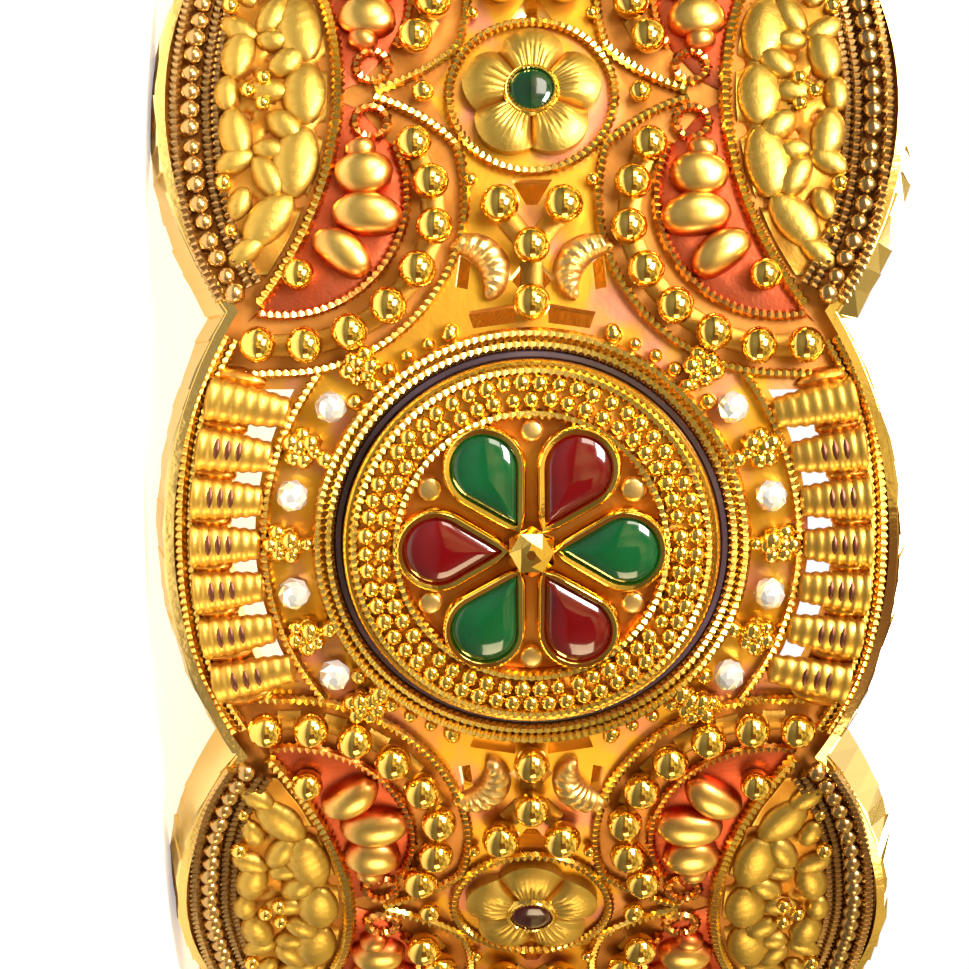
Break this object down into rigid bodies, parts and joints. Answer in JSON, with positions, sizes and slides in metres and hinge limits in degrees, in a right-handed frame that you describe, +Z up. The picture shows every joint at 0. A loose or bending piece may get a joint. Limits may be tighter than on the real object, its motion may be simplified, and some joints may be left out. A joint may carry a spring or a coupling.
{
  "type": "meenakari bangle",
  "caption": "Rigid broad gold bangle, scalloped and pierced, with raised enamelled medallions between flower panels, bead chains and ribbed fans.",
  "frame": {"origin": "middle of the bangle's footprint, on the surface it lies on", "axes": "+Z up along the wrist's axis, +X through the middle of the first medallion, +Y a quarter turn on"},
  "size_m": [0.0676, 0.0652, 0.028],
  "materials": {
    "gold": "polished",
    "matte_gold": "satin",
    "white_metal": "polished",
    "enamel_green": "gloss",
    "enamel_red": "gloss",
    "orange_wash": "gloss"
  },
  "bodies": {
    "root": {"band": "gold", "medallion_1": "gold", "medallion_2": "gold", "medallion_3": "gold", "medallion_4": "gold", "medallion_5": "gold", "medallion_6": "gold", "pear_1_1": "enamel_green", "pear_1_2": "enamel_red", "pear_1_3": "enamel_green", "pear_1_4": "enamel_red", "pear_1_5": "enamel_green", "pear_1_6": "enamel_red", "pear_2_1": "enamel_green", "pear_2_2": "enamel_red", "pear_2_3": "enamel_green", "pear_2_4": "enamel_red", "pear_2_5": "enamel_green", "pear_2_6": "enamel_red", "pear_3_1": "enamel_green", "pear_3_2": "enamel_red", "pear_3_3": "enamel_green", "pear_3_4": "enamel_red", "pear_3_5": "enamel_green", "pear_3_6": "enamel_red", "pear_4_1": "enamel_green", "pear_4_2": "enamel_red", "pear_4_3": "enamel_green", "pear_4_4": "enamel_red", "pear_4_5": "enamel_green", "pear_4_6": "enamel_red", "pear_5_1": "enamel_green", "pear_5_2": "enamel_red", "pear_5_3": "enamel_green", "pear_5_4": "enamel_red", "pear_5_5": "enamel_green", "pear_5_6": "enamel_red", "pear_6_1": "enamel_green", "pear_6_2": "enamel_red", "pear_6_3": "enamel_green", "pear_6_4": "enamel_red", "pear_6_5": "enamel_green", "pear_6_6": "enamel_red", "rosette_1": "matte_gold", "rosette_2": "matte_gold", "rosette_3": "matte_gold", "rosette_4": "matte_gold", "rosette_5": "matte_gold", "rosette_6": "matte_gold", "dot_1": "enamel_red", "dot_2": "enamel_green", "dot_3": "enamel_red", "dot_4": "enamel_green", "dot_5": "enamel_red", "dot_6": "enamel_green", "bead_chains": "gold", "white_balls": "white_metal", "coil_fans": "gold", "paisley_petals": "orange_wash", "leaf_fields": "matte_gold"}
  },
  "joints": []
}
